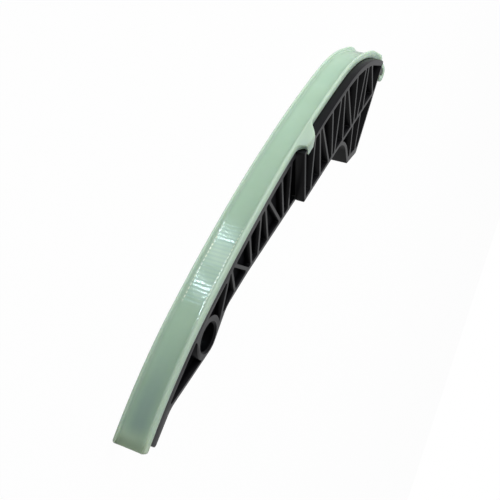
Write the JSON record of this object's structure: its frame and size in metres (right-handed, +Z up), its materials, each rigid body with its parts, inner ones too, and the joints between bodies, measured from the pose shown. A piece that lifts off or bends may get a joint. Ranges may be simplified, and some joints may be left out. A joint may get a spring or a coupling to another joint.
{
  "type": "timing chain guide",
  "caption": "Curved chain guide rail: ribbed black moulded carrier with a pivot boss and a notched foot, faced with a pale green channelled slide clipped over its nose.",
  "frame": {"origin": "middle of the underside: centre of the bounding box in X and Y, lowest point in Z, with the part lying flat on its plain side", "axes": "+X along the rail from the pivot end to the nose, +Y towards the chain side, +Z up, across the rail's width, towards the ribbed side with the shoulder"},
  "size_m": [0.316, 0.0864, 0.0224],
  "materials": {
    "black_nylon": "satin",
    "sage_nylon": "smooth, slightly translucent"
  },
  "bodies": {
    "root": {"rail_carrier": "black_nylon", "slide_facing": "sage_nylon"}
  },
  "joints": []
}
